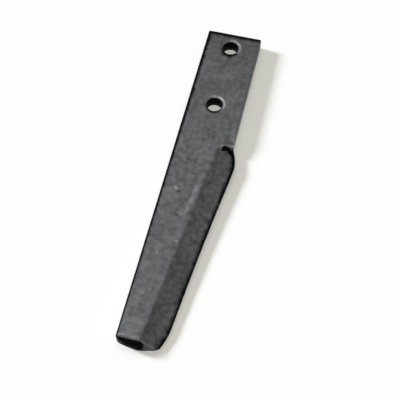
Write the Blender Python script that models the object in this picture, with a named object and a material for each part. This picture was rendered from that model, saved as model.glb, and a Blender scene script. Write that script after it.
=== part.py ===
"""Power harrow tine: one steel forging, a flat shank with two bolt holes and a bevelled blade.

The tine lies flat on its side. Its length runs along Y with the bolt end at +Y, the cutting edge
faces +X, and the underside of the bar is at Z = 0 with the middle of its box at the origin.

The body is lofted through cross-sections. A section is placed by its station, the distance from
the bolt end, and its points by their offset, the distance from the shank's centreline towards the
cutting edge. Heights are measured from the middle of the bar's thickness, because the two faces
of the forging mirror each other.
"""

import math

import bmesh
import bpy

# The bar that the tine is forged from
LENGTH = 0.316
SHANK_WIDTH = 0.050
THICKNESS = 0.012
BAR_CORNER_RADIUS = 0.0010

# The two bolt holes, in line along the shank
HOLE_DIAMETER = 0.014
HOLE_SPACING = 0.066
HOLE_END_DISTANCE = 0.0165
HOLE_OFFSET = -0.0008
HOLE_CHAMFER = 0.0006

# The shoulder, where the forged blade swells out of the shank's side
SHOULDER_STATION = 0.1222
SHOULDER_LENGTH = 0.0203
SHOULDER_REACH = 0.0054
SHOULDER_BLEND = 0.0003

# The thumb-shaped run-out, where the bevel stops against the full thickness of the shank
RUNOUT_LEAD = 0.0006
RUNOUT_LENGTH = 0.0060
RUNOUT_WALL = 0.0042
RUNOUT_REACH = 0.040

# The cutting edge, from the widest point of the shoulder to the tip
EDGE_THICKNESS = 0.0034
EDGE_ROLL_WIDTH = 0.0026
EDGE_ROLL_HEIGHT = 0.0014
EDGE_TAPER = 0.0128
EDGE_SAG = 0.0012
TIP_RELIEF = 0.0060
TIP_RELIEF_LENGTH = 0.026

# The bevel between the flat of the blade and its cutting edge
BEVEL_WIDTH = 0.0196
BEVEL_WIDTH_AT_TIP = 0.0190
BEVEL_HOLLOW = 0.0003
RIDGE_SOFTNESS = 0.0010

# The rounded tip
TIP_ROUND_LENGTH = 0.0065
TIP_BACK_LAG = 0.0028
TIP_BACK_INSET = 0.012
TIP_EDGE_INSET = 0.0018

# How finely the round forms are divided
CORNER_STEPS = 4
END_STEPS = 3
TIP_STEPS = 7
HOLE_SEGMENTS = 40

# Edges that bend by more than this are left sharp, and points closer than this are one
SHARP_ANGLE = math.radians(40)
MERGE_DISTANCE = 0.000001

# How many rows of points cross each stretch of the tine
SHANK_ROWS = 4
APPROACH_ROWS = 6
RUNOUT_ROWS = 6
SHOULDER_ROWS = 10
BLADE_ROWS = 12
TIP_RELIEF_ROWS = 5

HALF_THICKNESS = THICKNESS / 2
HALF_WIDTH = SHANK_WIDTH / 2
HALF_EDGE = EDGE_THICKNESS / 2
EDGE_OFFSET_AT_TIP = HALF_WIDTH - EDGE_TAPER
SHOULDER_PEAK = SHOULDER_STATION + SHOULDER_LENGTH
SHOULDER_RADIUS = (SHOULDER_LENGTH ** 2 + SHOULDER_REACH ** 2) / (2 * SHOULDER_REACH)
RUNOUT_STATION = SHOULDER_STATION - RUNOUT_LEAD
TIP_ROUND_STATION = LENGTH - TIP_ROUND_LENGTH

# Steepest angle of a rounded end's sections, short of closing to a line
LAST_TIP_ANGLE = math.radians(80)

# Shares of the flat of the blade, from the back corner to the ridge, that carry a row of points
FLAT_SHARES = (0.12, 0.36, 0.62, 0.84)

# Shares of the bevel, from the ridge to the cutting edge, that carry a row of points
BEVEL_SHARES = (-0.05, 0.0, 0.05, 0.12, 0.22, 0.34, 0.48, 0.62, 0.76, 0.88)

STEEL = (0.120, 0.122, 0.128, 1.0)


def clear_scene():
    for old in list(bpy.data.objects):
        bpy.data.objects.remove(old, do_unlink=True)


def smoothstep(value):
    """Ease from 0 to 1 with level ends."""
    share = min(max(value, 0.0), 1.0)
    return share * share * (3 - 2 * share)


def soft_minimum(first, second, blend):
    """The smaller of two lengths, with the crossing rounded over about the blend length."""
    middle = (first + second) / 2
    apart = (first - second) / 2
    return middle - math.sqrt(apart * apart + blend * blend)


def long_edge_line(station):
    """The cutting edge between shoulder and tip: a straight line with a slight hollow."""
    share = (station - SHOULDER_PEAK) / (LENGTH - SHOULDER_PEAK)
    widest = HALF_WIDTH + SHOULDER_REACH
    straight = widest + (EDGE_OFFSET_AT_TIP - widest) * share
    return straight - 4 * EDGE_SAG * share * (1 - share)


def shoulder_arc(station):
    """The round swelling of the blade, level from its widest point, the shoulder's peak, onward."""
    before_peak = max(SHOULDER_PEAK - station, 0.0)
    fall = SHOULDER_RADIUS - math.sqrt(SHOULDER_RADIUS ** 2 - before_peak ** 2)
    return HALF_WIDTH + SHOULDER_REACH - fall


def edge_offset(station):
    """Offset of the right-hand outline: the shank's side, the shoulder, then the cutting edge."""
    if station <= SHOULDER_STATION:
        return HALF_WIDTH
    outline = soft_minimum(shoulder_arc(station), long_edge_line(station), SHOULDER_BLEND)
    if station < SHOULDER_PEAK:
        outline = max(outline, HALF_WIDTH)
    relief = max(station - (LENGTH - TIP_RELIEF_LENGTH), 0.0) / TIP_RELIEF_LENGTH
    return outline - TIP_RELIEF * relief * relief


def ridge_offset(station):
    """Offset of the ridge between flat and bevel: straight on the blade, level along the shank."""
    share = (max(station, RUNOUT_STATION) - SHOULDER_PEAK) / (LENGTH - SHOULDER_PEAK)
    at_shoulder = HALF_WIDTH + SHOULDER_REACH - BEVEL_WIDTH
    at_tip = EDGE_OFFSET_AT_TIP - BEVEL_WIDTH_AT_TIP
    return at_shoulder + (at_tip - at_shoulder) * share


def runout_shift(share):
    """How far towards the tip the run-out's wall bends, at a share of the bevel's width."""
    if share < 0:
        return RUNOUT_LENGTH * (1 + share)
    across = 1 - min(share, 1.0)
    return RUNOUT_LENGTH * (1 - math.sqrt(1 - across * across))


def wall_drop(station, share):
    """How far down the run-out's wall has come, from 0 on the shank to 1 on the full bevel."""
    return smoothstep((station - RUNOUT_STATION - runout_shift(share)) / RUNOUT_WALL)


def bevel_depth(station, share):
    """How far the bevel lies below the bar's face, at a share of its width from the ridge."""
    full = HALF_THICKNESS - HALF_EDGE
    softness = RIDGE_SOFTNESS / BEVEL_WIDTH
    ramp = (share + math.sqrt(share * share + softness * softness)) / 2
    hollow = 4 * BEVEL_HOLLOW * max(share, 0.0) * (1 - min(max(share, 0.0), 1.0))
    return (full * min(ramp, 1.0) + hollow) * wall_drop(station, share)


def edge_roll(station):
    """Width and height of the right-hand side's rounding: small on the shank, wide on the blade."""
    drop = wall_drop(station, 1.0)
    width = BAR_CORNER_RADIUS + (EDGE_ROLL_WIDTH - BAR_CORNER_RADIUS) * drop
    height = BAR_CORNER_RADIUS + (EDGE_ROLL_HEIGHT - BAR_CORNER_RADIUS) * drop
    return width, height


def round_corner(offset, half_height, width, height):
    """Points of a rounded corner between a face and a side, listed from the face to the side.

    A negative width turns the corner towards the back.
    """
    points = []
    for step in range(CORNER_STEPS + 1):
        angle = math.radians(90) * step / CORNER_STEPS
        across = offset - width * (1 - math.sin(angle))
        points.append((across, half_height - height * (1 - math.cos(angle))))
    return points


def half_section(station, shape_station, tip_angle=0.0, end_angle=0.0):
    """Upper half of one cross-section, from the back of the tine to its cutting edge.

    shape_station sets the outline; tip_angle rolls the section round the tip, and end_angle rolls
    it round the square bolt end. Returns points as (offset, station, height).
    """
    roll = math.cos(tip_angle)
    trim = BAR_CORNER_RADIUS * (1 - math.cos(end_angle))
    back = -HALF_WIDTH + TIP_BACK_INSET * (1 - roll) + trim
    edge_inset = TIP_EDGE_INSET * (1 - roll) + trim
    bend = shoulder_bend(station)
    face_height = HALF_THICKNESS - trim

    def place(offset, half_height, lean):
        local = station + lean * bend
        if tip_angle > 0:
            local += tip_reach(offset, half_height, math.sin(tip_angle) / math.sin(LAST_TIP_ANGLE))
        return (offset, local, half_height * roll)

    def bevel_offset(share):
        local = shape_station + runout_shift(share) * bend
        ridge = ridge_offset(local)
        bevel_end = edge_offset(local) - edge_inset - edge_roll(local)[0]
        return ridge + (bevel_end - ridge) * share

    points = []
    back_corner = round_corner(back, face_height, -BAR_CORNER_RADIUS, BAR_CORNER_RADIUS)
    for offset, height in reversed(back_corner):
        points.append(place(offset, height, 0.0))

    flat_start = back + BAR_CORNER_RADIUS
    flat_end = bevel_offset(0.0)
    for share in FLAT_SHARES:
        offset = flat_start + (flat_end - flat_start) * share
        points.append(place(offset, face_height, RUNOUT_LENGTH * share))

    for share in BEVEL_SHARES:
        lean = runout_shift(share)
        depth = bevel_depth(station + lean * bend, share)
        points.append(place(bevel_offset(share), face_height - depth, lean))

    edge = edge_offset(shape_station) - edge_inset
    edge_height = face_height - bevel_depth(station, 1.0)
    for offset, height in round_corner(edge, edge_height, *edge_roll(station)):
        points.append(place(offset, height, 0.0))
    return points


def tip_reach(offset, half_height, share):
    """How far a share of the tip's roll carries a point past the start of the rounding."""
    fullness = math.sqrt(half_height / HALF_THICKNESS)
    lag = TIP_BACK_LAG * smoothstep(-offset / HALF_WIDTH)
    return share * (TIP_ROUND_LENGTH * fullness - lag)


def shoulder_bend(station):
    """How strongly the sections bend to follow the run-out's curve: 1 there, 0 far from it."""
    distance = abs(station - RUNOUT_STATION - RUNOUT_WALL / 2) - RUNOUT_WALL
    return 1 - smoothstep(distance / RUNOUT_REACH)


def spread(start, end, count):
    """Stations evenly spread after start, up to and with end."""
    return [start + (end - start) * (step + 1) / count for step in range(count)]


def body_sections():
    """All half-sections of the tine, from the bolt end to the tip."""
    sections = []
    for step in range(END_STEPS + 1):
        angle = math.radians(90) * (1 - step / END_STEPS)
        station = BAR_CORNER_RADIUS * (1 - math.sin(angle))
        sections.append(half_section(station, station, end_angle=angle))

    approach = RUNOUT_STATION - RUNOUT_REACH
    wall_end = RUNOUT_STATION + RUNOUT_WALL
    blade_start = SHOULDER_PEAK + RUNOUT_REACH / 2
    relief_start = LENGTH - TIP_RELIEF_LENGTH
    stations = spread(BAR_CORNER_RADIUS, approach, SHANK_ROWS)
    stations += spread(approach, RUNOUT_STATION, APPROACH_ROWS)
    stations += spread(RUNOUT_STATION, wall_end, RUNOUT_ROWS)
    stations += spread(wall_end, blade_start, SHOULDER_ROWS)
    stations += spread(blade_start, relief_start, BLADE_ROWS)
    stations += spread(relief_start, TIP_ROUND_STATION, TIP_RELIEF_ROWS)
    for station in stations:
        sections.append(half_section(station, station))

    for step in range(1, TIP_STEPS + 1):
        angle = LAST_TIP_ANGLE * step / TIP_STEPS
        along = TIP_ROUND_LENGTH * math.sin(angle)
        sections.append(half_section(TIP_ROUND_STATION, TIP_ROUND_STATION + along, tip_angle=angle))
    return sections


def add_loop(mesh, half):
    """Add a closed loop of vertices: the upper half of a section, then its mirror below."""
    loop = []
    for offset, station, height in half:
        loop.append(mesh.verts.new((offset, -station, HALF_THICKNESS + height)))
    for offset, station, height in reversed(half):
        loop.append(mesh.verts.new((offset, -station, HALF_THICKNESS - height)))
    return loop


def close_end(mesh, loop, facing_tip):
    """Close an end with a strip of faces between the upper and the lower half of its loop."""
    count = len(loop)
    for index in range(count // 2 - 1):
        quad = [loop[index], loop[index + 1], loop[count - 2 - index], loop[count - 1 - index]]
        mesh.faces.new(quad if facing_tip else reversed(quad))


def make_body():
    """The forging without its holes, with its bolt end at Y = 0."""
    mesh = bmesh.new()
    loops = [add_loop(mesh, half) for half in body_sections()]
    count = len(loops[0])
    for near, far in zip(loops, loops[1:]):
        for index in range(count):
            after = (index + 1) % count
            mesh.faces.new((near[index], near[after], far[after], far[index]))
    close_end(mesh, loops[0], False)
    close_end(mesh, loops[-1], True)
    bmesh.ops.recalc_face_normals(mesh, faces=mesh.faces)
    data = bpy.data.meshes.new("tine")
    mesh.to_mesh(data)
    mesh.free()
    return data


def add_hole_cutter(mesh, station):
    """A turned cutter for one bolt hole: the bore with a small chamfer at each face."""
    overlap = HOLE_CHAMFER
    bore = HOLE_DIAMETER / 2
    profile = (
        (0.0, -overlap),
        (bore + HOLE_CHAMFER + overlap, -overlap),
        (bore, HOLE_CHAMFER),
        (bore, THICKNESS - HOLE_CHAMFER),
        (bore + HOLE_CHAMFER + overlap, THICKNESS + overlap),
        (0.0, THICKNESS + overlap),
    )
    centre = (HOLE_OFFSET, -station, 0.0)
    chain = [mesh.verts.new((centre[0] + radius, centre[1], height)) for radius, height in profile]
    edges = [mesh.edges.new(pair) for pair in zip(chain, chain[1:])]
    bmesh.ops.spin(
        mesh,
        geom=chain + edges,
        cent=centre,
        axis=(0, 0, 1),
        angle=math.radians(360),
        steps=HOLE_SEGMENTS,
        use_merge=True,
    )


def make_hole_cutters():
    mesh = bmesh.new()
    add_hole_cutter(mesh, HOLE_END_DISTANCE)
    add_hole_cutter(mesh, HOLE_END_DISTANCE + HOLE_SPACING)
    bmesh.ops.remove_doubles(mesh, verts=mesh.verts, dist=MERGE_DISTANCE)
    bmesh.ops.recalc_face_normals(mesh, faces=mesh.faces)
    data = bpy.data.meshes.new("bolt_hole_cutters")
    mesh.to_mesh(data)
    mesh.free()
    return data


def steel_material():
    """Dark forged steel with its fire scale still on."""
    material = bpy.data.materials.new("forged_steel")
    material.use_nodes = True
    shader = material.node_tree.nodes["Principled BSDF"]
    shader.inputs["Base Color"].default_value = STEEL
    shader.inputs["Metallic"].default_value = 0.6
    shader.inputs["Roughness"].default_value = 0.55
    return material


def middle_of_box(data):
    """The middle of a mesh's box across and along the tine."""
    across = [vertex.co.x for vertex in data.vertices]
    along = [vertex.co.y for vertex in data.vertices]
    return (min(across) + max(across)) / 2, (min(along) + max(along)) / 2


def build_tine():
    data = make_body()
    data.materials.append(steel_material())
    middle_x, middle_y = middle_of_box(data)
    place = (-middle_x, -middle_y, 0.0)

    tine = bpy.data.objects.new("tine", data)
    tine.location = place
    bpy.context.scene.collection.objects.link(tine)

    cutters = bpy.data.objects.new("bolt_hole_cutters", make_hole_cutters())
    cutters.location = place
    cutters.hide_render = True
    cutters.display_type = "WIRE"
    bpy.context.scene.collection.objects.link(cutters)

    holes = tine.modifiers.new("bolt_holes", "BOOLEAN")
    holes.operation = "DIFFERENCE"
    holes.solver = "EXACT"
    holes.object = cutters

    data.shade_smooth()
    data.set_sharp_from_angle(angle=SHARP_ANGLE)


clear_scene()
build_tine()
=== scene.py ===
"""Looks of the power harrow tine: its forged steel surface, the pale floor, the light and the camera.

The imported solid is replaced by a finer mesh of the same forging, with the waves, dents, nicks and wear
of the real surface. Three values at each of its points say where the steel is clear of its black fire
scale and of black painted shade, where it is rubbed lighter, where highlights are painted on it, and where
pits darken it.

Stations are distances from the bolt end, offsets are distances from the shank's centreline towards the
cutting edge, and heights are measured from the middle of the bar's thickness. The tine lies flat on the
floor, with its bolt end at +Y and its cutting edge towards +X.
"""

import math
import random

import bmesh
import bpy
import numpy as np
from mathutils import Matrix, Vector, noise


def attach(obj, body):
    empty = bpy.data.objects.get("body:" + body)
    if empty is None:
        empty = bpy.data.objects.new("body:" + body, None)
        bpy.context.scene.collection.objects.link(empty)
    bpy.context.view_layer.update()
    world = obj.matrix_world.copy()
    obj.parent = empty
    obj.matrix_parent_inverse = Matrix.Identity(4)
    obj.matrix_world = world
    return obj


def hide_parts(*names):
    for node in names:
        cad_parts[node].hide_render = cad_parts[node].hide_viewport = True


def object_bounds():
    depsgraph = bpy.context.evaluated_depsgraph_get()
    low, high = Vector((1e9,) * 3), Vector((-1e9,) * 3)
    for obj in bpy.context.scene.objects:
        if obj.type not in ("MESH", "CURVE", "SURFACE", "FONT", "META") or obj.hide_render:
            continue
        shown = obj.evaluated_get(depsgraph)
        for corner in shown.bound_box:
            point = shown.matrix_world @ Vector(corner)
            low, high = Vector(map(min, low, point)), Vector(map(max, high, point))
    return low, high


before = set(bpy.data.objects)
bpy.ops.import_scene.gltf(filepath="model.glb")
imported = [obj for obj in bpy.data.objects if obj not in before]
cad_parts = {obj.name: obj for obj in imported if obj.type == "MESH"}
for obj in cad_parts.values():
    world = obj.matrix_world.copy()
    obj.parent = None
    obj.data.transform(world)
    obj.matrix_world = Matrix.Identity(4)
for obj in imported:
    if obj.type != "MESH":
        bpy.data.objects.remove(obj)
CAD_LOW, CAD_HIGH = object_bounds()

# The bar that the tine is forged from
LENGTH = 0.316
SHANK_WIDTH = 0.050
THICKNESS = 0.012
BAR_CORNER_RADIUS = 0.0010

# The two bolt holes, in line along the shank
HOLE_DIAMETER = 0.014
HOLE_SPACING = 0.066
HOLE_END_DISTANCE = 0.0165
HOLE_OFFSET = -0.0008
HOLE_CHAMFER = 0.0006

# The worn chamfer, as shares of its width: how far each point lies outside the bore and below the face
CHAMFER_PROFILE = ((1.0, 0.0), (0.3, 0.5), (0.0, 1.4))

# The shoulder, where the forged blade swells out of the shank's side
SHOULDER_STATION = 0.1222
SHOULDER_LENGTH = 0.0203
SHOULDER_REACH = 0.0054
SHOULDER_BLEND = 0.0003

# The thumb-shaped run-out, where the bevel stops against the full thickness of the shank
RUNOUT_LEAD = 0.0006
RUNOUT_LENGTH = 0.0060
RUNOUT_WALL = 0.0042
RUNOUT_REACH = 0.040

# The cutting edge, from the widest point of the shoulder to the tip
EDGE_THICKNESS = 0.0034
EDGE_ROLL_WIDTH = 0.0026
EDGE_ROLL_HEIGHT = 0.0014
EDGE_TAPER = 0.0128
EDGE_SAG = 0.0012
TIP_RELIEF = 0.0060
TIP_RELIEF_LENGTH = 0.026

# The bevel between the flat of the blade and its cutting edge
BEVEL_WIDTH = 0.0196
BEVEL_WIDTH_AT_TIP = 0.0190
BEVEL_HOLLOW = 0.0003
RIDGE_SOFTNESS = 0.0010

# The rounded tip
TIP_ROUND_LENGTH = 0.0065
TIP_BACK_LAG = 0.0028
TIP_BACK_INSET = 0.012
TIP_EDGE_INSET = 0.0018

# How finely the mesh is divided
ROW_SPACING = 0.00075
RUNOUT_ROW_SPACING = 0.00035
FLAT_COLUMNS = 46
BEVEL_COLUMNS = 28
CORNER_STEPS = 5
END_STEPS = 5
TIP_STEPS = 14
HOLE_SEGMENTS = 96
MERGE_DISTANCE = 1e-6
LAST_TIP_ANGLE = math.radians(86)
SHARP_ANGLE = math.radians(38)

# The finer rows start before the run-out and end past its start, by these shares of its wall
FINE_ROW_SHARES = (0.5, 1.5)

# The bevel's columns start before the ridge, by this share of the bevel's width
RIDGE_LEAD = 0.06

# How far the worn cutting edge hangs towards the floor at the tip
EDGE_DROOP = 0.0032

# The worn rims of the bolt holes, dished below both faces
RIM_WEAR_DEPTH = 0.0005
RIM_WEAR_REACH = 0.0032

# The worn corner of the shank's side beside the run-out, rounded down
CORNER_WEAR_DEPTH = 0.0021
CORNER_WEAR_LENGTH = 0.0125
CORNER_WEAR_WIDTH = 0.0100

# The hammered surface: long waves and short ripples, as depths below the bar's nominal faces
WAVE_DEPTH = 0.00012
WAVE_LENGTH = 0.024
WAVE_SEED = 1
RIPPLE_DEPTH = 0.00005
RIPPLE_LENGTH = 0.006
RIPPLE_SEED = 2
NOISE_SHIFT = (3.7, 1.9, 5.3)

# The dents of both faces. A dent fades out at its radius times the rim.
DENT_COUNT = 90
DENT_RADII = (0.0008, 0.0030)
DENT_RIM = 1.6
DENT_DEPTHS = (0.00002, 0.00009)
DENT_END_CLEARANCES = (0.004, 0.008)
DENT_SEED = 11

# Single marks of the upper face: station, offset, radius, depth. A negative depth stands proud.
FACE_MARKS = (
    (0.1736, -0.0124, 0.0024, -0.00022),
    (0.1764, -0.0092, 0.0019, 0.00026),
    (0.1432, -0.0101, 0.0018, 0.00026),
    (0.1450, -0.0027, 0.0016, 0.00018),
    (0.1101, 0.0011, 0.0020, 0.00014),
    (0.1258, 0.0049, 0.0018, -0.00010),
    (0.1974, -0.0026, 0.0023, -0.00012),
    (0.1985, -0.0058, 0.0024, 0.00012),
    (0.2217, 0.0002, 0.0018, -0.00010),
    (0.2260, -0.0145, 0.0024, -0.00009),
    (0.2355, -0.0120, 0.0024, -0.00009),
    (0.2712, -0.0145, 0.0020, -0.00010),
    (0.2786, -0.0120, 0.0020, -0.00010),
    (0.3096, -0.0184, 0.0014, 0.00022),
)

# A mark this deep is fully pitted, and one standing this proud is rubbed by its full share
MARK_TONE_DEPTH = 0.00022
MARK_RUB = 0.9

# The bolt end is a little darker than the rest
END_DARKENING = 0.22
END_DARKENING_REACH = 0.050

# The black fire scale along the back and the bolt end, and the black painted shade along the shoulder's
# outline,
# the cutting edge and the tip: how far each reaches from its corner, and how much lighter it is right there
BACK_SCALE_REACH = 0.0047
BACK_SCALE_REACH_AT_TIP = 0.0020
END_SCALE_REACH = 0.0058
SIDE_SCALE_NARROWING = 2.2
SHOULDER_SHADE_REACH = 0.0052
SHOULDER_SHADE_LIFT = 0.2
EDGE_SHADE_REACH = 0.0056
EDGE_SHADE_LIFT = 0.42
TIP_SHADE_STATION = 0.3094
TIP_SHADE_REACH = 0.0016
TIP_BEVEL_CLEAR = 0.75
TIP_BEVEL_LEAD = 0.006

# How clear the steel is far from all scale and painted shade, and how upright its surface is at most inside
# a bore
QUITE_CLEAR = 2.0
BORE_NORMAL_HEIGHT = 0.6

# The painted shade on the run-out's wall: a black arc from near the ridge to the shank's side, wider at
# that side
RUNOUT_SHADE_MIDDLE = 0.0018
RUNOUT_SHADE_REACH = 0.0032
RUNOUT_SHADE_ARCH = 0.0034
RUNOUT_SHADE_CORNER = 0.0050
RUNOUT_SHADE_WIDENING = 0.6
RUNOUT_SHADE_LEAD = 0.0029
RUNOUT_SHADE_LAG = 0.5

# The painted shade on the holes' lips: black on their side towards the tip
LIP_SHADE_REACHES = (0.0058, 0.0034)
LIP_SHADE_ANGLE = math.radians(95)

# The painted highlight beside the ridge, a pale streak: where it starts, is strongest and ends
RIDGE_HIGHLIGHT_STATIONS = (0.150, 0.181, 0.215)
RIDGE_HIGHLIGHT_DISTANCE = 0.0042
RIDGE_HIGHLIGHT_WIDTH = 0.0032
RIDGE_HIGHLIGHT = 0.42

# The painted highlights round the bolt holes, pale crescents, and their bearing from the tip's direction
# towards the edge
HOLE_HIGHLIGHT_RADIUS = 0.0089
HOLE_HIGHLIGHT_WIDTH = 0.0016
HOLE_HIGHLIGHT_ANGLE = math.radians(145)
HOLE_HIGHLIGHT = 1.1

# The painted highlights on the rims of the flat and of the bevel at the tip, and the grinding streaks
# before them
TIP_HIGHLIGHT_STATION = 0.3078
TIP_HIGHLIGHT_WIDTH = 0.0011
TIP_HIGHLIGHT = 0.60
TIP_BEVEL_HIGHLIGHT_STATION = 0.3095
TIP_BEVEL_HIGHLIGHT_WIDTH = 0.0032
TIP_BEVEL_HIGHLIGHT = 0.30
STREAK_STATIONS = (0.2925, 0.3065)
STREAK_SPACING = 0.0034
STREAK_RUB = 0.10

# The painted highlight on the rim at the top of the run-out's wall
RUNOUT_HIGHLIGHT_DISTANCE = -0.0008
RUNOUT_HIGHLIGHT_WIDTH = 0.0018
RUNOUT_HIGHLIGHT = 1.2

# The colours of the steel. The rubbed colour also paints highlights, and the fire scale's black also paints
# shade.
STEEL_DARK = (0.112, 0.114, 0.121, 1.0)
STEEL_LIGHT = (0.212, 0.214, 0.224, 1.0)
STEEL_RUBBED_AND_HIGHLIT = (0.46, 0.46, 0.48, 1.0)
STEEL_PITTED = (0.045, 0.045, 0.048, 1.0)
FIRE_SCALE_AND_SHADE = (0.005, 0.005, 0.0055, 1.0)

# The patterns in the steel: the scale and the detail of each, and how far their values spread
CLOUDS = (60.0, 5.0)
SPOTS = (230.0, 4.0)
GRAIN = (1400.0, 3.0)
PATTERN_ROUGHNESS = 0.6
MOTTLE_SPREAD = (0.37, 0.63)
SPOT_SPREAD = (0.35, 0.65)

# How much of the finer pattern goes into the mottled tone, into the gloss and into the bumps
MOTTLE_SPOTS = 0.65
GLOSS_GRAIN = 0.4
BUMP_GRAIN = 0.3

# The gloss of steel and scale, the unevenness of the rubbing and of the painted highlights, the ragged
# border of the scale and of the painted shade, and the bumps
STEEL_METALLIC = 0.85
STEEL_ROUGHNESS = (0.45, 0.59)
SCALE_ROUGHNESS = 0.7
SPOTTED_LIFT = (0.4, 1.3)
SCALE_EDGE = (0.45, 1.0)
SCALE_RAGGEDNESS = 0.5
BUMP_STRENGTH = 0.4
BUMP_DISTANCE = 0.0003

# Lengths and stations that follow from those above
HALF_THICKNESS = THICKNESS / 2
HALF_WIDTH = SHANK_WIDTH / 2
HALF_EDGE = EDGE_THICKNESS / 2
EDGE_OFFSET_AT_TIP = HALF_WIDTH - EDGE_TAPER
SHOULDER_PEAK = SHOULDER_STATION + SHOULDER_LENGTH
SHOULDER_RADIUS = (SHOULDER_LENGTH ** 2 + SHOULDER_REACH ** 2) / (2 * SHOULDER_REACH)
RUNOUT_STATION = SHOULDER_STATION - RUNOUT_LEAD
TIP_ROUND_STATION = LENGTH - TIP_ROUND_LENGTH
HOLE_STATIONS = (HOLE_END_DISTANCE, HOLE_END_DISTANCE + HOLE_SPACING)

# The shank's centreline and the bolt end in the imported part's frame
CENTRELINE_X = CAD_LOW.x + HALF_WIDTH
BOLT_END_Y = CAD_HIGH.y

# The camera, fitted to the photograph
CAMERA_AIM = (0.00554, -0.01632, 0.0)
CAMERA_AZIMUTH = math.radians(13.61)
CAMERA_ELEVATION = math.radians(60.66)
CAMERA_DISTANCE = 0.6766
CAMERA_LENS = 72.0
SENSOR_WIDTH = 36.0

# The far, soft lights. Directions point from the tine towards the light, and spans are their widths.
KEY_DIRECTION = (-1.85, 0.20, 1.0)
KEY_SPAN = math.radians(13)
KEY_STRENGTH = 3.05
KEY_COLOR = (0.87, 0.91, 1.0)
FRONT_DIRECTION = (0.11, -0.46, 0.88)
FRONT_SPAN = math.radians(20)
FRONT_STRENGTH = 1.58
FRONT_COLOR = (0.98, 0.96, 0.875)
SOFTBOX_DIRECTION = (-0.25, 0.45, 0.86)
SOFTBOX_SPAN = math.radians(30)
SOFTBOX_STRENGTH = 0.34
SOFTBOX_COLOR = (0.98, 0.97, 0.94)

# The room: its faint light, and the white backdrop that fades out between two heights above the
# horizon, given as sines of their angles
SKY_COLOR = (0.98, 0.98, 0.97, 1.0)
SKY_STRENGTH = 0.09
BACKDROP_STRENGTH = 1.0
BACKDROP_HEIGHTS = (0.14, 0.30)

# The floor under the tine
FLOOR_SIDE = 60.0
FLOOR_COLOR = (0.97, 0.97, 0.96, 1.0)
FLOOR_ROUGHNESS = 0.9


def smoothstep(value):
    """Ease from 0 to 1 with level ends."""
    share = min(max(value, 0.0), 1.0)
    return share * share * (3 - 2 * share)


def soft_minimum(first, second, blend):
    """The smaller of two lengths, with the crossing rounded over about the blend length."""
    middle = (first + second) / 2
    apart = (first - second) / 2
    return middle - math.sqrt(apart * apart + blend * blend)


def long_edge_line(station):
    """The cutting edge between shoulder and tip: a straight line with a slight hollow."""
    share = (station - SHOULDER_PEAK) / (LENGTH - SHOULDER_PEAK)
    widest = HALF_WIDTH + SHOULDER_REACH
    straight = widest + (EDGE_OFFSET_AT_TIP - widest) * share
    return straight - 4 * EDGE_SAG * share * (1 - share)


def shoulder_arc(station):
    """The round swelling of the blade, level from its widest point, the shoulder's peak, onward."""
    before_peak = max(SHOULDER_PEAK - station, 0.0)
    fall = SHOULDER_RADIUS - math.sqrt(SHOULDER_RADIUS ** 2 - before_peak ** 2)
    return HALF_WIDTH + SHOULDER_REACH - fall


def edge_offset(station):
    """Offset of the right-hand outline: the shank's side, the shoulder, then the cutting edge."""
    if station <= SHOULDER_STATION:
        return HALF_WIDTH
    outline = soft_minimum(shoulder_arc(station), long_edge_line(station), SHOULDER_BLEND)
    if station < SHOULDER_PEAK:
        outline = max(outline, HALF_WIDTH)
    relief = max(station - (LENGTH - TIP_RELIEF_LENGTH), 0.0) / TIP_RELIEF_LENGTH
    return outline - TIP_RELIEF * relief * relief


def ridge_offset(station):
    """Offset of the ridge between flat and bevel: straight on the blade, level along the shank."""
    share = (max(station, RUNOUT_STATION) - SHOULDER_PEAK) / (LENGTH - SHOULDER_PEAK)
    at_shoulder = HALF_WIDTH + SHOULDER_REACH - BEVEL_WIDTH
    at_tip = EDGE_OFFSET_AT_TIP - BEVEL_WIDTH_AT_TIP
    return at_shoulder + (at_tip - at_shoulder) * share


def runout_shift(share):
    """How far towards the tip the run-out's wall bends, at a share of the bevel's width."""
    if share < 0:
        return RUNOUT_LENGTH * (1 + share)
    across = 1 - min(share, 1.0)
    return RUNOUT_LENGTH * (1 - math.sqrt(1 - across * across))


def wall_drop(station, share):
    """How far down the run-out's wall has come, from 0 on the shank to 1 on the full bevel."""
    return smoothstep((station - RUNOUT_STATION - runout_shift(share)) / RUNOUT_WALL)


def bevel_depth(station, share):
    """How far the bevel lies below the bar's face, at a share of its width from the ridge."""
    full = HALF_THICKNESS - HALF_EDGE
    softness = RIDGE_SOFTNESS / BEVEL_WIDTH
    ramp = (share + math.sqrt(share * share + softness * softness)) / 2
    hollow = 4 * BEVEL_HOLLOW * max(share, 0.0) * (1 - min(max(share, 0.0), 1.0))
    return (full * min(ramp, 1.0) + hollow) * wall_drop(station, share)


def edge_roll(station):
    """Width and height of the rounding along the right-hand side: small on the shank, wide on the blade."""
    drop = wall_drop(station, 1.0)
    width = BAR_CORNER_RADIUS + (EDGE_ROLL_WIDTH - BAR_CORNER_RADIUS) * drop
    height = BAR_CORNER_RADIUS + (EDGE_ROLL_HEIGHT - BAR_CORNER_RADIUS) * drop
    return width, height


def round_corner(offset, half_height, width, height):
    """Points of a rounded corner between a face and a side, listed from the face to the side.

    A negative width turns the corner towards the back.
    """
    points = []
    for step in range(CORNER_STEPS + 1):
        angle = math.radians(90) * step / CORNER_STEPS
        across = offset - width * (1 - math.sin(angle))
        points.append((across, half_height - height * (1 - math.cos(angle))))
    return points


def tip_reach(offset, half_height, share):
    """How far a share of the tip's roll carries a point past the start of the rounding."""
    fullness = math.sqrt(half_height / HALF_THICKNESS)
    lag = TIP_BACK_LAG * smoothstep(-offset / HALF_WIDTH)
    return share * (TIP_ROUND_LENGTH * fullness - lag)


def shoulder_bend(station):
    """How strongly the sections bend to follow the run-out's curve: 1 there, 0 far from it."""
    distance = abs(station - RUNOUT_STATION - RUNOUT_WALL / 2) - RUNOUT_WALL
    return 1 - smoothstep(distance / RUNOUT_REACH)


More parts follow.
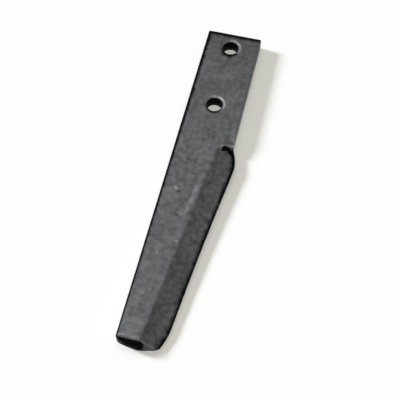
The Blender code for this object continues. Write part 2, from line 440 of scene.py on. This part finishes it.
def half_section(station, shape_station, tip_angle=0.0, end_angle=0.0):
    """Upper half of one cross-section, from the back of the tine to its cutting edge.

    shape_station sets the outline; tip_angle rolls the section round the tip, and end_angle rolls
    it round the square bolt end. Returns points as (offset, station, height).
    """
    roll = math.cos(tip_angle)
    trim = BAR_CORNER_RADIUS * (1 - math.cos(end_angle))
    back = -HALF_WIDTH + TIP_BACK_INSET * (1 - roll) + trim
    edge_inset = TIP_EDGE_INSET * (1 - roll) + trim
    bend = shoulder_bend(station)
    half_height = HALF_THICKNESS - trim

    def place(offset, half_height, lean):
        local = station + lean * bend
        if tip_angle > 0:
            local += tip_reach(offset, half_height, math.sin(tip_angle) / math.sin(LAST_TIP_ANGLE))
        return (offset, local, half_height * roll)

    def bevel_offset(share):
        local = shape_station + runout_shift(share) * bend
        ridge = ridge_offset(local)
        bevel_end = edge_offset(local) - edge_inset - edge_roll(local)[0]
        return ridge + (bevel_end - ridge) * share

    points = []
    for offset, height in reversed(round_corner(back, half_height, -BAR_CORNER_RADIUS, BAR_CORNER_RADIUS)):
        points.append(place(offset, height, 0.0))

    flat_start = back + BAR_CORNER_RADIUS
    flat_end = bevel_offset(-RIDGE_LEAD)
    for column in range(1, FLAT_COLUMNS):
        share = column / FLAT_COLUMNS
        offset = flat_start + (flat_end - flat_start) * share
        points.append(place(offset, half_height, runout_shift(-RIDGE_LEAD) * share))

    for column in range(BEVEL_COLUMNS):
        share = -RIDGE_LEAD + (1 + RIDGE_LEAD) * column / BEVEL_COLUMNS
        lean = runout_shift(share)
        depth = bevel_depth(station + lean * bend, share)
        points.append(place(bevel_offset(share), half_height - depth, lean))

    edge = edge_offset(shape_station) - edge_inset
    edge_height = half_height - bevel_depth(station, 1.0)
    for offset, height in round_corner(edge, edge_height, *edge_roll(station)):
        points.append(place(offset, height, 0.0))
    return points


def spread(start, end, spacing):
    """Stations evenly spread after start, up to and with end, about the spacing apart."""
    count = max(1, round((end - start) / spacing))
    return [start + (end - start) * (step + 1) / count for step in range(count)]


def body_sections():
    """All half-sections of the tine, from the bolt end to the tip."""
    sections = []
    for step in range(END_STEPS + 1):
        angle = math.radians(90) * (1 - step / END_STEPS)
        station = BAR_CORNER_RADIUS * (1 - math.sin(angle))
        sections.append(half_section(station, station, end_angle=angle))

    before, after = FINE_ROW_SHARES
    fine_start = RUNOUT_STATION - before * RUNOUT_WALL
    fine_end = RUNOUT_STATION + after * RUNOUT_WALL
    stations = spread(BAR_CORNER_RADIUS, fine_start, ROW_SPACING)
    stations += spread(fine_start, fine_end, RUNOUT_ROW_SPACING)
    stations += spread(fine_end, TIP_ROUND_STATION, ROW_SPACING)
    for station in stations:
        sections.append(half_section(station, station))

    for step in range(1, TIP_STEPS + 1):
        angle = LAST_TIP_ANGLE * step / TIP_STEPS
        along = TIP_ROUND_LENGTH * math.sin(angle)
        sections.append(half_section(TIP_ROUND_STATION, TIP_ROUND_STATION + along, tip_angle=angle))
    return sections


def frame_point(offset, station, height):
    """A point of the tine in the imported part's frame."""
    return (CENTRELINE_X + offset, BOLT_END_Y - station, HALF_THICKNESS + height)


def add_loop(mesh, half):
    """Add a closed loop of vertices: the upper half of a section, then its mirror below."""
    upper = [mesh.verts.new(frame_point(*point)) for point in half]
    lower = [mesh.verts.new(frame_point(offset, station, -height)) for offset, station, height in half]
    return upper + lower[::-1]


def close_end(mesh, loop):
    """Close an end with a row of faces between the upper and the lower half of its loop."""
    half = len(loop) // 2
    upper = loop[:half]
    lower = loop[half:][::-1]
    for column in range(half - 1):
        mesh.faces.new((upper[column], upper[column + 1], lower[column + 1], lower[column]))


def make_body():
    """The forging without its holes, smooth and even."""
    mesh = bmesh.new()
    loops = [add_loop(mesh, half) for half in body_sections()]
    count = len(loops[0])
    for near, far in zip(loops, loops[1:]):
        for index in range(count):
            after = (index + 1) % count
            mesh.faces.new((near[index], near[after], far[after], far[index]))
    close_end(mesh, loops[0])
    close_end(mesh, loops[-1])
    bmesh.ops.recalc_face_normals(mesh, faces=mesh.faces)
    data = bpy.data.meshes.new("forged_tine")
    mesh.to_mesh(data)
    mesh.free()
    return data


def hole_profile():
    """Radii and heights of a bolt hole from below to above: the bore with a worn chamfer at each face."""
    bore = HOLE_DIAMETER / 2
    lower = [(0.0, -HOLE_CHAMFER), (bore + HOLE_CHAMFER + HOLE_CHAMFER, -HOLE_CHAMFER)]
    for outward, inward in CHAMFER_PROFILE:
        lower.append((bore + outward * HOLE_CHAMFER, inward * HOLE_CHAMFER))
    upper = [(radius, THICKNESS - height) for radius, height in reversed(lower)]
    return lower + upper


def add_hole_cutter(mesh, hole_station):
    """A turned cutter for one bolt hole."""
    profile = hole_profile()
    centre = Vector((CENTRELINE_X + HOLE_OFFSET, BOLT_END_Y - hole_station, 0.0))
    chain = [mesh.verts.new(centre + Vector((radius, 0.0, height))) for radius, height in profile]
    edges = [mesh.edges.new(pair) for pair in zip(chain, chain[1:])]
    bmesh.ops.spin(
        mesh,
        geom=chain + edges,
        cent=centre,
        axis=(0, 0, 1),
        angle=math.radians(360),
        steps=HOLE_SEGMENTS,
        use_merge=True,
    )


def cut_holes(tine):
    """Drill the two bolt holes and keep the result as the tine's own mesh."""
    mesh = bmesh.new()
    for hole_station in HOLE_STATIONS:
        add_hole_cutter(mesh, hole_station)
    bmesh.ops.remove_doubles(mesh, verts=mesh.verts, dist=MERGE_DISTANCE)
    bmesh.ops.recalc_face_normals(mesh, faces=mesh.faces)
    data = bpy.data.meshes.new("hole_cutters")
    mesh.to_mesh(data)
    mesh.free()
    cutters = bpy.data.objects.new("hole_cutters", data)
    bpy.context.scene.collection.objects.link(cutters)

    holes = tine.modifiers.new("bolt_holes", "BOOLEAN")
    holes.operation = "DIFFERENCE"
    holes.solver = "EXACT"
    holes.object = cutters
    depsgraph = bpy.context.evaluated_depsgraph_get()
    drilled = bpy.data.meshes.new_from_object(tine.evaluated_get(depsgraph))
    tine.modifiers.clear()
    tine.data = drilled
    bpy.data.objects.remove(cutters, do_unlink=True)


def read_points(data):
    """The vertices of a mesh and their normals, as arrays."""
    count = len(data.vertices)
    points = np.empty(count * 3)
    normals = np.empty(count * 3)
    data.vertices.foreach_get("co", points)
    data.vertex_normals.foreach_get("vector", normals)
    return points.reshape(-1, 3), normals.reshape(-1, 3)


def surface_places(points):
    """Station, offset and height of each point."""
    return BOLT_END_Y - points[:, 1], points[:, 0] - CENTRELINE_X, points[:, 2] - HALF_THICKNESS


def ease(values):
    """Ease an array from 0 to 1 with level ends."""
    share = np.clip(values, 0.0, 1.0)
    return share * share * (3 - 2 * share)


def noise_at(points, wave_length, seed):
    """Smooth noise between -1 and 1 at each point, in a place of its own for each seed."""
    shift = Vector(NOISE_SHIFT) * seed
    scaled = points / wave_length
    return np.array([noise.noise(Vector(point) + shift) for point in scaled])


def dent(points, centre, radius, depth):
    """Depth of one round dent at each point: full at its centre, none from its radius on."""
    distance = np.linalg.norm(points - np.array(centre), axis=1) / radius
    inside = np.clip(1 - distance * distance, 0.0, 1.0)
    return depth * inside * inside


def random_dents(points):
    """Shallow hammer and shot dents scattered over both faces."""
    draw = random.Random(DENT_SEED)
    before, after = DENT_END_CLEARANCES
    total = np.zeros(len(points))
    for _ in range(DENT_COUNT):
        station = draw.uniform(before, LENGTH - after)
        offset = draw.uniform(-HALF_WIDTH, edge_offset(station))
        height = draw.choice((-HALF_THICKNESS, HALF_THICKNESS))
        centre = frame_point(offset, station, height)
        radius = draw.uniform(*DENT_RADII)
        depth = draw.uniform(*DENT_DEPTHS)
        total += dent(points, centre, radius * DENT_RIM, depth)
    return total


def face_marks(points):
    """The nicks and pits that can be told apart on the upper face."""
    total = np.zeros(len(points))
    for station, offset, radius, depth in FACE_MARKS:
        centre = frame_point(offset, station, HALF_THICKNESS)
        total += dent(points, centre, radius, depth)
    return total


def hole_polar(stations, offsets, hole_station):
    """Each point's distance from a bolt hole's axis, and its bearing there from the tip's direction."""
    across = offsets - HOLE_OFFSET
    lengthwise = stations - hole_station
    return np.hypot(across, lengthwise), np.arctan2(across, lengthwise)


def hole_distance(stations, offsets):
    """Distance of each point from the axis of the nearest bolt hole."""
    return np.minimum(*[hole_polar(stations, offsets, hole_station)[0] for hole_station in HOLE_STATIONS])


def ridge_line(stations):
    """The ridge's offset at each station of an array."""
    return np.array([ridge_offset(station) for station in stations])


def outline_line(stations):
    """The right-hand outline's offset at each station of an array."""
    return np.array([edge_offset(station) for station in stations])


def edge_droop(stations, offsets):
    """How far the worn blade hangs below its nominal place at each point: most at the tip's edge."""
    along = np.clip((stations - SHOULDER_PEAK) / (LENGTH - SHOULDER_PEAK), 0.0, 1.0)
    ridge = ridge_line(stations)
    outline = outline_line(stations)
    return EDGE_DROOP * along * np.clip((offsets - ridge) / (outline - ridge), 0.0, 1.0)


def corner_wear(stations, offsets):
    """How far the shank's corner next to the run-out is rounded down at each point."""
    along = ease((stations - RUNOUT_STATION) / CORNER_WEAR_LENGTH + 1)
    across = ease((offsets - HALF_WIDTH) / CORNER_WEAR_WIDTH + 1)
    return CORNER_WEAR_DEPTH * along * across * (stations < SHOULDER_PEAK)


def hammer_surface(data):
    """Sink the smooth forging a little and unevenly, as hammers leave it, and lower what is worn."""
    points, normals = read_points(data)
    stations, offsets, heights = surface_places(points)
    waves = 0.5 + 0.5 * noise_at(points, WAVE_LENGTH, WAVE_SEED)
    ripples = 0.5 + 0.5 * noise_at(points, RIPPLE_LENGTH, RIPPLE_SEED)
    depth = WAVE_DEPTH * waves + RIPPLE_DEPTH * ripples + random_dents(points) + face_marks(points)
    moved = points - normals * depth[:, None]
    rim = (hole_distance(stations, offsets) - HOLE_DIAMETER / 2) / RIM_WEAR_REACH
    worn = RIM_WEAR_DEPTH * (1 - ease(rim)) + corner_wear(stations, offsets)
    lowered = np.minimum(np.abs(heights), HALF_THICKNESS - worn) * np.sign(heights)
    moved[:, 2] += lowered - heights - edge_droop(stations, offsets)
    moved = np.clip(moved, np.array(CAD_LOW), np.array(CAD_HIGH))
    data.vertices.foreach_set("co", moved.ravel())
    data.update()


def band(distances, width):
    """1 on a line, easing to 0 at a width from it."""
    return 1 - ease(np.abs(distances) / width)


def runout_distance(stations, offsets, ridge):
    """How far past the start of the run-out's wall each point lies."""
    shares = np.clip((offsets - ridge) / BEVEL_WIDTH, 0.0, 1.0)
    return stations - RUNOUT_STATION - np.array([runout_shift(share) for share in shares])


def bar_corner_scale(stations, offsets, heights):
    """How bare the steel is near the back's corners and near the corners of the bolt end."""
    below_face = SIDE_SCALE_NARROWING * (HALF_THICKNESS - np.abs(heights))
    share = np.clip(stations / LENGTH, 0.0, 1.0)
    back_reach = BACK_SCALE_REACH + (BACK_SCALE_REACH_AT_TIP - BACK_SCALE_REACH) * share
    back = np.hypot(offsets + HALF_WIDTH, below_face) / back_reach
    bolt_end = np.hypot(stations, below_face) / END_SCALE_REACH
    return np.minimum(back, bolt_end)


def cutting_edge_shade(stations, offsets):
    """How clear the steel is of the black painted shade near the shoulder's outline and the cutting edge.
    """
    shoulder_end = SHOULDER_PEAK + SHOULDER_LENGTH
    past_shoulder = ease((stations - SHOULDER_STATION) / (shoulder_end - SHOULDER_STATION))
    reach = SHOULDER_SHADE_REACH + (EDGE_SHADE_REACH - SHOULDER_SHADE_REACH) * past_shoulder
    lift = SHOULDER_SHADE_LIFT + (EDGE_SHADE_LIFT - SHOULDER_SHADE_LIFT) * past_shoulder
    inward = (outline_line(stations) - offsets) / reach
    clear_of_scale_and_shade = lift + (1 - lift) * ease(inward) + np.maximum(inward - 1, 0)
    on_blade = ease((stations - RUNOUT_STATION - RUNOUT_SHADE_MIDDLE) / RUNOUT_WALL)
    return clear_of_scale_and_shade + QUITE_CLEAR * (1 - on_blade)


def runout_shade(stations, offsets, ridge):
    """How clear the steel is of the arc of black painted shade on the run-out's wall."""
    corner = ease((offsets - HALF_WIDTH) / RUNOUT_SHADE_CORNER + 1)
    middle = RUNOUT_SHADE_MIDDLE + RUNOUT_SHADE_ARCH * corner
    reach = RUNOUT_SHADE_REACH * (1 + RUNOUT_SHADE_WIDENING * corner)
    clear_of_scale_and_shade = np.abs(runout_distance(stations, offsets, ridge) - middle) / reach
    past_ridge = ease((offsets - ridge) / RUNOUT_SHADE_LEAD - RUNOUT_SHADE_LAG)
    return clear_of_scale_and_shade + QUITE_CLEAR * (1 - past_ridge)


def tip_shade(stations, offsets, ridge):
    """How clear the steel is of painted shade near the tip: black below the flat, half clear below the
    bevel.
    """
    before_tip = (TIP_SHADE_STATION + TIP_SHADE_REACH - stations) / TIP_SHADE_REACH
    return np.maximum(before_tip, 0) + TIP_BEVEL_CLEAR * ease((offsets - ridge) / TIP_BEVEL_LEAD)


def bore_shade(stations, offsets, normals):
    """How clear the steel is of painted shade as far as the bolt holes go: black inside them, quite clear
    elsewhere.
    """
    outside = hole_distance(stations, offsets) > HOLE_DIAMETER / 2 + HOLE_CHAMFER / 2
    level = np.abs(normals[:, 2]) > BORE_NORMAL_HEIGHT
    return QUITE_CLEAR * (outside | level)


def lip_shade(stations, offsets):
    """How clear the holes' lips are of painted shade, which is black on their side towards the tip."""
    clear_of_scale_and_shade = np.full(len(stations), QUITE_CLEAR)
    for hole_station, reach in zip(HOLE_STATIONS, LIP_SHADE_REACHES):
        radius, bearing = hole_polar(stations, offsets, hole_station)
        turned_away = (1 - np.cos(bearing)) / (1 - math.cos(LIP_SHADE_ANGLE))
        clear_of_scale_and_shade = np.minimum(clear_of_scale_and_shade, (radius - HOLE_DIAMETER / 2) / reach + turned_away)
    return clear_of_scale_and_shade


def mark_scale_and_shade(data):
    """Store how clear the steel is of fire scale and painted shade: 0 on the black itself, from 1 on quite
    clear.
    """
    points, normals = read_points(data)
    stations, offsets, heights = surface_places(points)
    ridge = ridge_line(stations)
    clear_of_scale_and_shade = np.minimum.reduce([
        bar_corner_scale(stations, offsets, heights),
        cutting_edge_shade(stations, offsets),
        runout_shade(stations, offsets, ridge),
        tip_shade(stations, offsets, ridge),
        bore_shade(stations, offsets, normals),
        lip_shade(stations, offsets),
    ])
    add_attribute(data, "clear_of_scale_and_shade", np.clip(clear_of_scale_and_shade, 0.0, QUITE_CLEAR))


def painted_ridge_highlight(stations, offsets, ridge):
    """The painted highlight beside the ridge, a pale streak strongest at its second station."""
    start, peak, end = RIDGE_HIGHLIGHT_STATIONS
    along = ease((stations - start) / (peak - start)) * (1 - ease((stations - peak) / (end - peak)))
    return RIDGE_HIGHLIGHT * along * band(offsets - ridge + RIDGE_HIGHLIGHT_DISTANCE, RIDGE_HIGHLIGHT_WIDTH)


def painted_hole_rim_highlights(stations, offsets):
    """The painted highlight round each bolt hole, a pale crescent on the side of its bearing."""
    rubbed_and_highlit = np.zeros(len(stations))
    for hole_station in HOLE_STATIONS:
        radius, bearing = hole_polar(stations, offsets, hole_station)
        facing = 0.5 + 0.5 * np.cos(bearing - HOLE_HIGHLIGHT_ANGLE)
        rubbed_and_highlit += HOLE_HIGHLIGHT * facing ** 2 * band(radius - HOLE_HIGHLIGHT_RADIUS, HOLE_HIGHLIGHT_WIDTH)
    return rubbed_and_highlit


def tip_highlights_and_streaks(stations, on_flat):
    """The painted highlights on the rims of the flat and of the bevel at the tip, and the grinding streaks
    before them.
    """
    rubbed_and_highlit = TIP_HIGHLIGHT * on_flat * band(stations - TIP_HIGHLIGHT_STATION, TIP_HIGHLIGHT_WIDTH)
    rubbed_and_highlit += TIP_BEVEL_HIGHLIGHT * (1 - on_flat) * band(stations - TIP_BEVEL_HIGHLIGHT_STATION, TIP_BEVEL_HIGHLIGHT_WIDTH)
    first, last = STREAK_STATIONS
    streaks = 0.5 + 0.5 * np.cos(2 * math.pi * (stations - first) / STREAK_SPACING)
    return rubbed_and_highlit + STREAK_RUB * on_flat * streaks * (stations > first) * (stations < last)


def painted_runout_highlight(stations, offsets, ridge):
    """The painted highlight on the rim at the top of the run-out's wall."""
    on_bevel = ease((offsets - ridge) / RIDGE_HIGHLIGHT_WIDTH)
    past_rim = runout_distance(stations, offsets, ridge) - RUNOUT_HIGHLIGHT_DISTANCE
    return RUNOUT_HIGHLIGHT * on_bevel * band(past_rim, RUNOUT_HIGHLIGHT_WIDTH)


def mark_tones(data):
    """Store where the upper face is rubbed lighter, where highlights are painted on it, and where pits and
    the bolt end are darker.
    """
    points = read_points(data)[0]
    stations, offsets, heights = surface_places(points)
    on_top = heights > HALF_THICKNESS / 2
    ridge = ridge_line(stations)
    on_flat = ease((ridge - offsets) / RIDGE_HIGHLIGHT_WIDTH)
    marks = face_marks(points) / MARK_TONE_DEPTH

    # Painted highlights on the ridge, the hole rims, the tip and the run-out's rim, with the grinding
    # streaks and the rub of proud marks
    rubbed_and_highlit = painted_ridge_highlight(stations, offsets, ridge)
    rubbed_and_highlit += painted_hole_rim_highlights(stations, offsets)
    rubbed_and_highlit += tip_highlights_and_streaks(stations, on_flat)
    rubbed_and_highlit += painted_runout_highlight(stations, offsets, ridge)
    rubbed_and_highlit += MARK_RUB * np.clip(-marks, 0.0, 1.0)
    add_attribute(data, "rubbed_and_highlit", np.clip(rubbed_and_highlit * on_top, 0.0, 1.0))

    darkened = END_DARKENING * (1 - ease(stations / END_DARKENING_REACH))
    add_attribute(data, "pitted", np.clip(marks + darkened, 0.0, 1.0))


def add_attribute(data, name, values):
    """Store one value for each vertex of a mesh."""
    layer = data.attributes.new(name, "FLOAT", "POINT")
    layer.data.foreach_set("value", values.astype(np.float32))


def add_node(tree, kind, **settings):
    """Add a shader node with its settings."""
    node = tree.nodes.new(kind)
    for name, value in settings.items():
        setattr(node, name, value)
    return node


def feed(tree, sockets, values):
    """Give each socket its value, which is a plain one or the output of another node."""
    for socket, value in zip(sockets, values):
        if isinstance(value, bpy.types.NodeSocket):
            tree.links.new(value, socket)
        else:
            socket.default_value = value


def noise_pattern(tree, coordinates, scale, detail):
    """Cloudy noise of a scale and a detail, with values about 0.5."""
    node = add_node(tree, "ShaderNodeTexNoise")
    sockets = [node.inputs[name] for name in ("Vector", "Scale", "Detail", "Roughness")]
    feed(tree, sockets, (coordinates, scale, detail, PATTERN_ROUGHNESS))
    return node.outputs["Fac"]


def remap(tree, value, low, high, to_low, to_high):
    """A value stretched from one range to another, held inside it."""
    node = add_node(tree, "ShaderNodeMapRange", clamp=True)
    sockets = [node.inputs[name] for name in ("Value", "From Min", "From Max", "To Min", "To Max")]
    feed(tree, sockets, (value, low, high, to_low, to_high))
    return node.outputs["Result"]


def math_node(tree, operation, first, second):
    """The result of an operation on two values."""
    node = add_node(tree, "ShaderNodeMath", operation=operation)
    feed(tree, node.inputs, (first, second))
    return node.outputs["Value"]


def mix_colors(tree, share, first, second):
    """A colour that lies a share of the way from the first to the second."""
    node = add_node(tree, "ShaderNodeMix", data_type="RGBA")
    feed(tree, (node.inputs[0], node.inputs[6], node.inputs[7]), (share, first, second))
    return node.outputs[2]


def blend(tree, share, first, second):
    """A value that lies a share of the way from the first to the second."""
    node = add_node(tree, "ShaderNodeMix", data_type="FLOAT")
    feed(tree, (node.inputs[0], node.inputs[2], node.inputs[3]), (share, first, second))
    return node.outputs[0]


def attribute(tree, name):
    """The value that is stored at each vertex under a name."""
    return add_node(tree, "ShaderNodeAttribute", attribute_name=name).outputs["Fac"]


def steel_tone(tree, spots, clouds, scale):
    """The steel's colour: mottled grey, then the rubbing and the painted highlights, the pits, and the fire
    scale and the painted shade.
    """
    mottle = remap(tree, blend(tree, MOTTLE_SPOTS, clouds, spots), *MOTTLE_SPREAD, 0.0, 1.0)
    color = mix_colors(tree, mottle, STEEL_DARK, STEEL_LIGHT)
    spotted = remap(tree, spots, *SPOT_SPREAD, *SPOTTED_LIFT)
    lift = math_node(tree, "MULTIPLY", attribute(tree, "rubbed_and_highlit"), spotted)
    color = mix_colors(tree, lift, color, STEEL_RUBBED_AND_HIGHLIT)
    color = mix_colors(tree, attribute(tree, "pitted"), color, STEEL_PITTED)
    return mix_colors(tree, scale, color, FIRE_SCALE_AND_SHADE)


def ragged_scale_and_shade(tree, spots):
    """1 on fire scale and painted shade and 0 on clear steel, with a ragged border between them."""
    uneven = math_node(tree, "MULTIPLY", math_node(tree, "SUBTRACT", spots, 0.5), SCALE_RAGGEDNESS)
    clear_of_scale_and_shade = math_node(tree, "ADD", attribute(tree, "clear_of_scale_and_shade"), uneven)
    return remap(tree, clear_of_scale_and_shade, *SCALE_EDGE, 1.0, 0.0)


def forged_steel():
    """Dark forged steel: mottled grey, rubbed lighter and painted with highlights in places, with black
    fire scale and black painted shade on its edges.
    """
    material = bpy.data.materials.new("forged_steel")
    material.use_nodes = True
    tree = material.node_tree
    shader = tree.nodes["Principled BSDF"]
    shader.inputs["Metallic"].default_value = STEEL_METALLIC
    shader.inputs["Specular IOR Level"].default_value = 0.0

    place = add_node(tree, "ShaderNodeTexCoord").outputs["Object"]
    clouds = noise_pattern(tree, place, *CLOUDS)
    spots = noise_pattern(tree, place, *SPOTS)
    grain = noise_pattern(tree, place, *GRAIN)
    # The black of the fire scale and of the painted shade, with its ragged border
    scale = ragged_scale_and_shade(tree, spots)
    tree.links.new(steel_tone(tree, spots, clouds, scale), shader.inputs["Base Color"])

    rough = remap(tree, blend(tree, GLOSS_GRAIN, spots, grain), *SPOT_SPREAD, *STEEL_ROUGHNESS)
    tree.links.new(blend(tree, scale, rough, SCALE_ROUGHNESS), shader.inputs["Roughness"])

    bump = add_node(tree, "ShaderNodeBump")
    bump.inputs["Strength"].default_value = BUMP_STRENGTH
    bump.inputs["Distance"].default_value = BUMP_DISTANCE
    tree.links.new(blend(tree, BUMP_GRAIN, spots, grain), bump.inputs["Height"])
    tree.links.new(bump.outputs["Normal"], shader.inputs["Normal"])
    return material


def build_tine():
    """Build the finished tine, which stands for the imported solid."""
    tine = bpy.data.objects.new("forged_tine", make_body())
    bpy.context.scene.collection.objects.link(tine)
    cut_holes(tine)
    hammer_surface(tine.data)
    mark_scale_and_shade(tine.data)
    mark_tones(tine.data)
    tine.data.materials.clear()
    tine.data.materials.append(forged_steel())
    tine.data.shade_smooth()
    tine.data.set_sharp_from_angle(angle=SHARP_ANGLE)
    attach(tine, "root")
    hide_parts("tine")


def white_floor():
    """Dull white paper."""
    material = bpy.data.materials.new("white_floor")
    material.use_nodes = True
    shader = material.node_tree.nodes["Principled BSDF"]
    shader.inputs["Base Color"].default_value = FLOOR_COLOR
    shader.inputs["Roughness"].default_value = FLOOR_ROUGHNESS
    shader.inputs["Specular IOR Level"].default_value = 0.0
    return material


def build_floor():
    """A plain white floor right under the tine."""
    mesh = bmesh.new()
    bmesh.ops.create_grid(mesh, x_segments=1, y_segments=1, size=FLOOR_SIDE / 2)
    data = bpy.data.meshes.new("floor")
    mesh.to_mesh(data)
    mesh.free()
    data.materials.append(white_floor())
    floor = bpy.data.objects.new("floor", data)
    floor.location.z = CAD_LOW.z
    bpy.context.scene.collection.objects.link(floor)


def add_far_light(name, direction, span, strength, color):
    """A soft light so far away that it reaches all of the floor evenly."""
    data = bpy.data.lights.new(name, "SUN")
    data.angle = span
    data.energy = strength
    data.color = color
    light = bpy.data.objects.new(name, data)
    towards = Vector(direction)
    light.location = towards
    light.rotation_euler = towards.to_track_quat("Z", "Y").to_euler()
    bpy.context.scene.collection.objects.link(light)


def build_lights():
    """A key from the tine's back, a light from above its tip and a softbox from above its bolt end."""
    add_far_light("key", KEY_DIRECTION, KEY_SPAN, KEY_STRENGTH, KEY_COLOR)
    add_far_light("front", FRONT_DIRECTION, FRONT_SPAN, FRONT_STRENGTH, FRONT_COLOR)
    add_far_light("softbox", SOFTBOX_DIRECTION, SOFTBOX_SPAN, SOFTBOX_STRENGTH, SOFTBOX_COLOR)


def build_sky():
    """A faint even room light, in front of a white backdrop that stands round the floor.

    The backdrop lights nothing by itself: only what sees it or mirrors it finds it white.
    """
    world = bpy.data.worlds.new("room")
    world.use_nodes = True
    tree = world.node_tree
    background = tree.nodes["Background"]
    background.inputs["Color"].default_value = SKY_COLOR
    rays = add_node(tree, "ShaderNodeLightPath").outputs
    seen = math_node(tree, "MAXIMUM", rays["Is Camera Ray"], rays["Is Glossy Ray"])
    seen = math_node(tree, "MAXIMUM", seen, rays["Is Transmission Ray"])
    direction = add_node(tree, "ShaderNodeSeparateXYZ")
    tree.links.new(add_node(tree, "ShaderNodeTexCoord").outputs["Generated"], direction.inputs["Vector"])
    backdrop = remap(tree, direction.outputs["Z"], *BACKDROP_HEIGHTS, BACKDROP_STRENGTH, SKY_STRENGTH)
    tree.links.new(blend(tree, seen, SKY_STRENGTH, backdrop), background.inputs["Strength"])
    bpy.context.scene.world = world


def build_camera():
    """The photograph's camera."""
    data = bpy.data.cameras.new("camera")
    data.lens = CAMERA_LENS
    data.sensor_width = SENSOR_WIDTH
    camera = bpy.data.objects.new("camera", data)
    level = math.cos(CAMERA_ELEVATION)
    towards = Vector((
        math.sin(CAMERA_AZIMUTH) * level,
        -math.cos(CAMERA_AZIMUTH) * level,
        math.sin(CAMERA_ELEVATION),
    ))
    camera.location = Vector(CAMERA_AIM) + towards * CAMERA_DISTANCE
    camera.rotation_euler = towards.to_track_quat("Z", "Y").to_euler()
    bpy.context.scene.collection.objects.link(camera)
    bpy.context.scene.camera = camera


bpy.context.scene.view_settings.view_transform = "Standard"
build_camera()
build_tine()
build_floor()
build_lights()
build_sky()
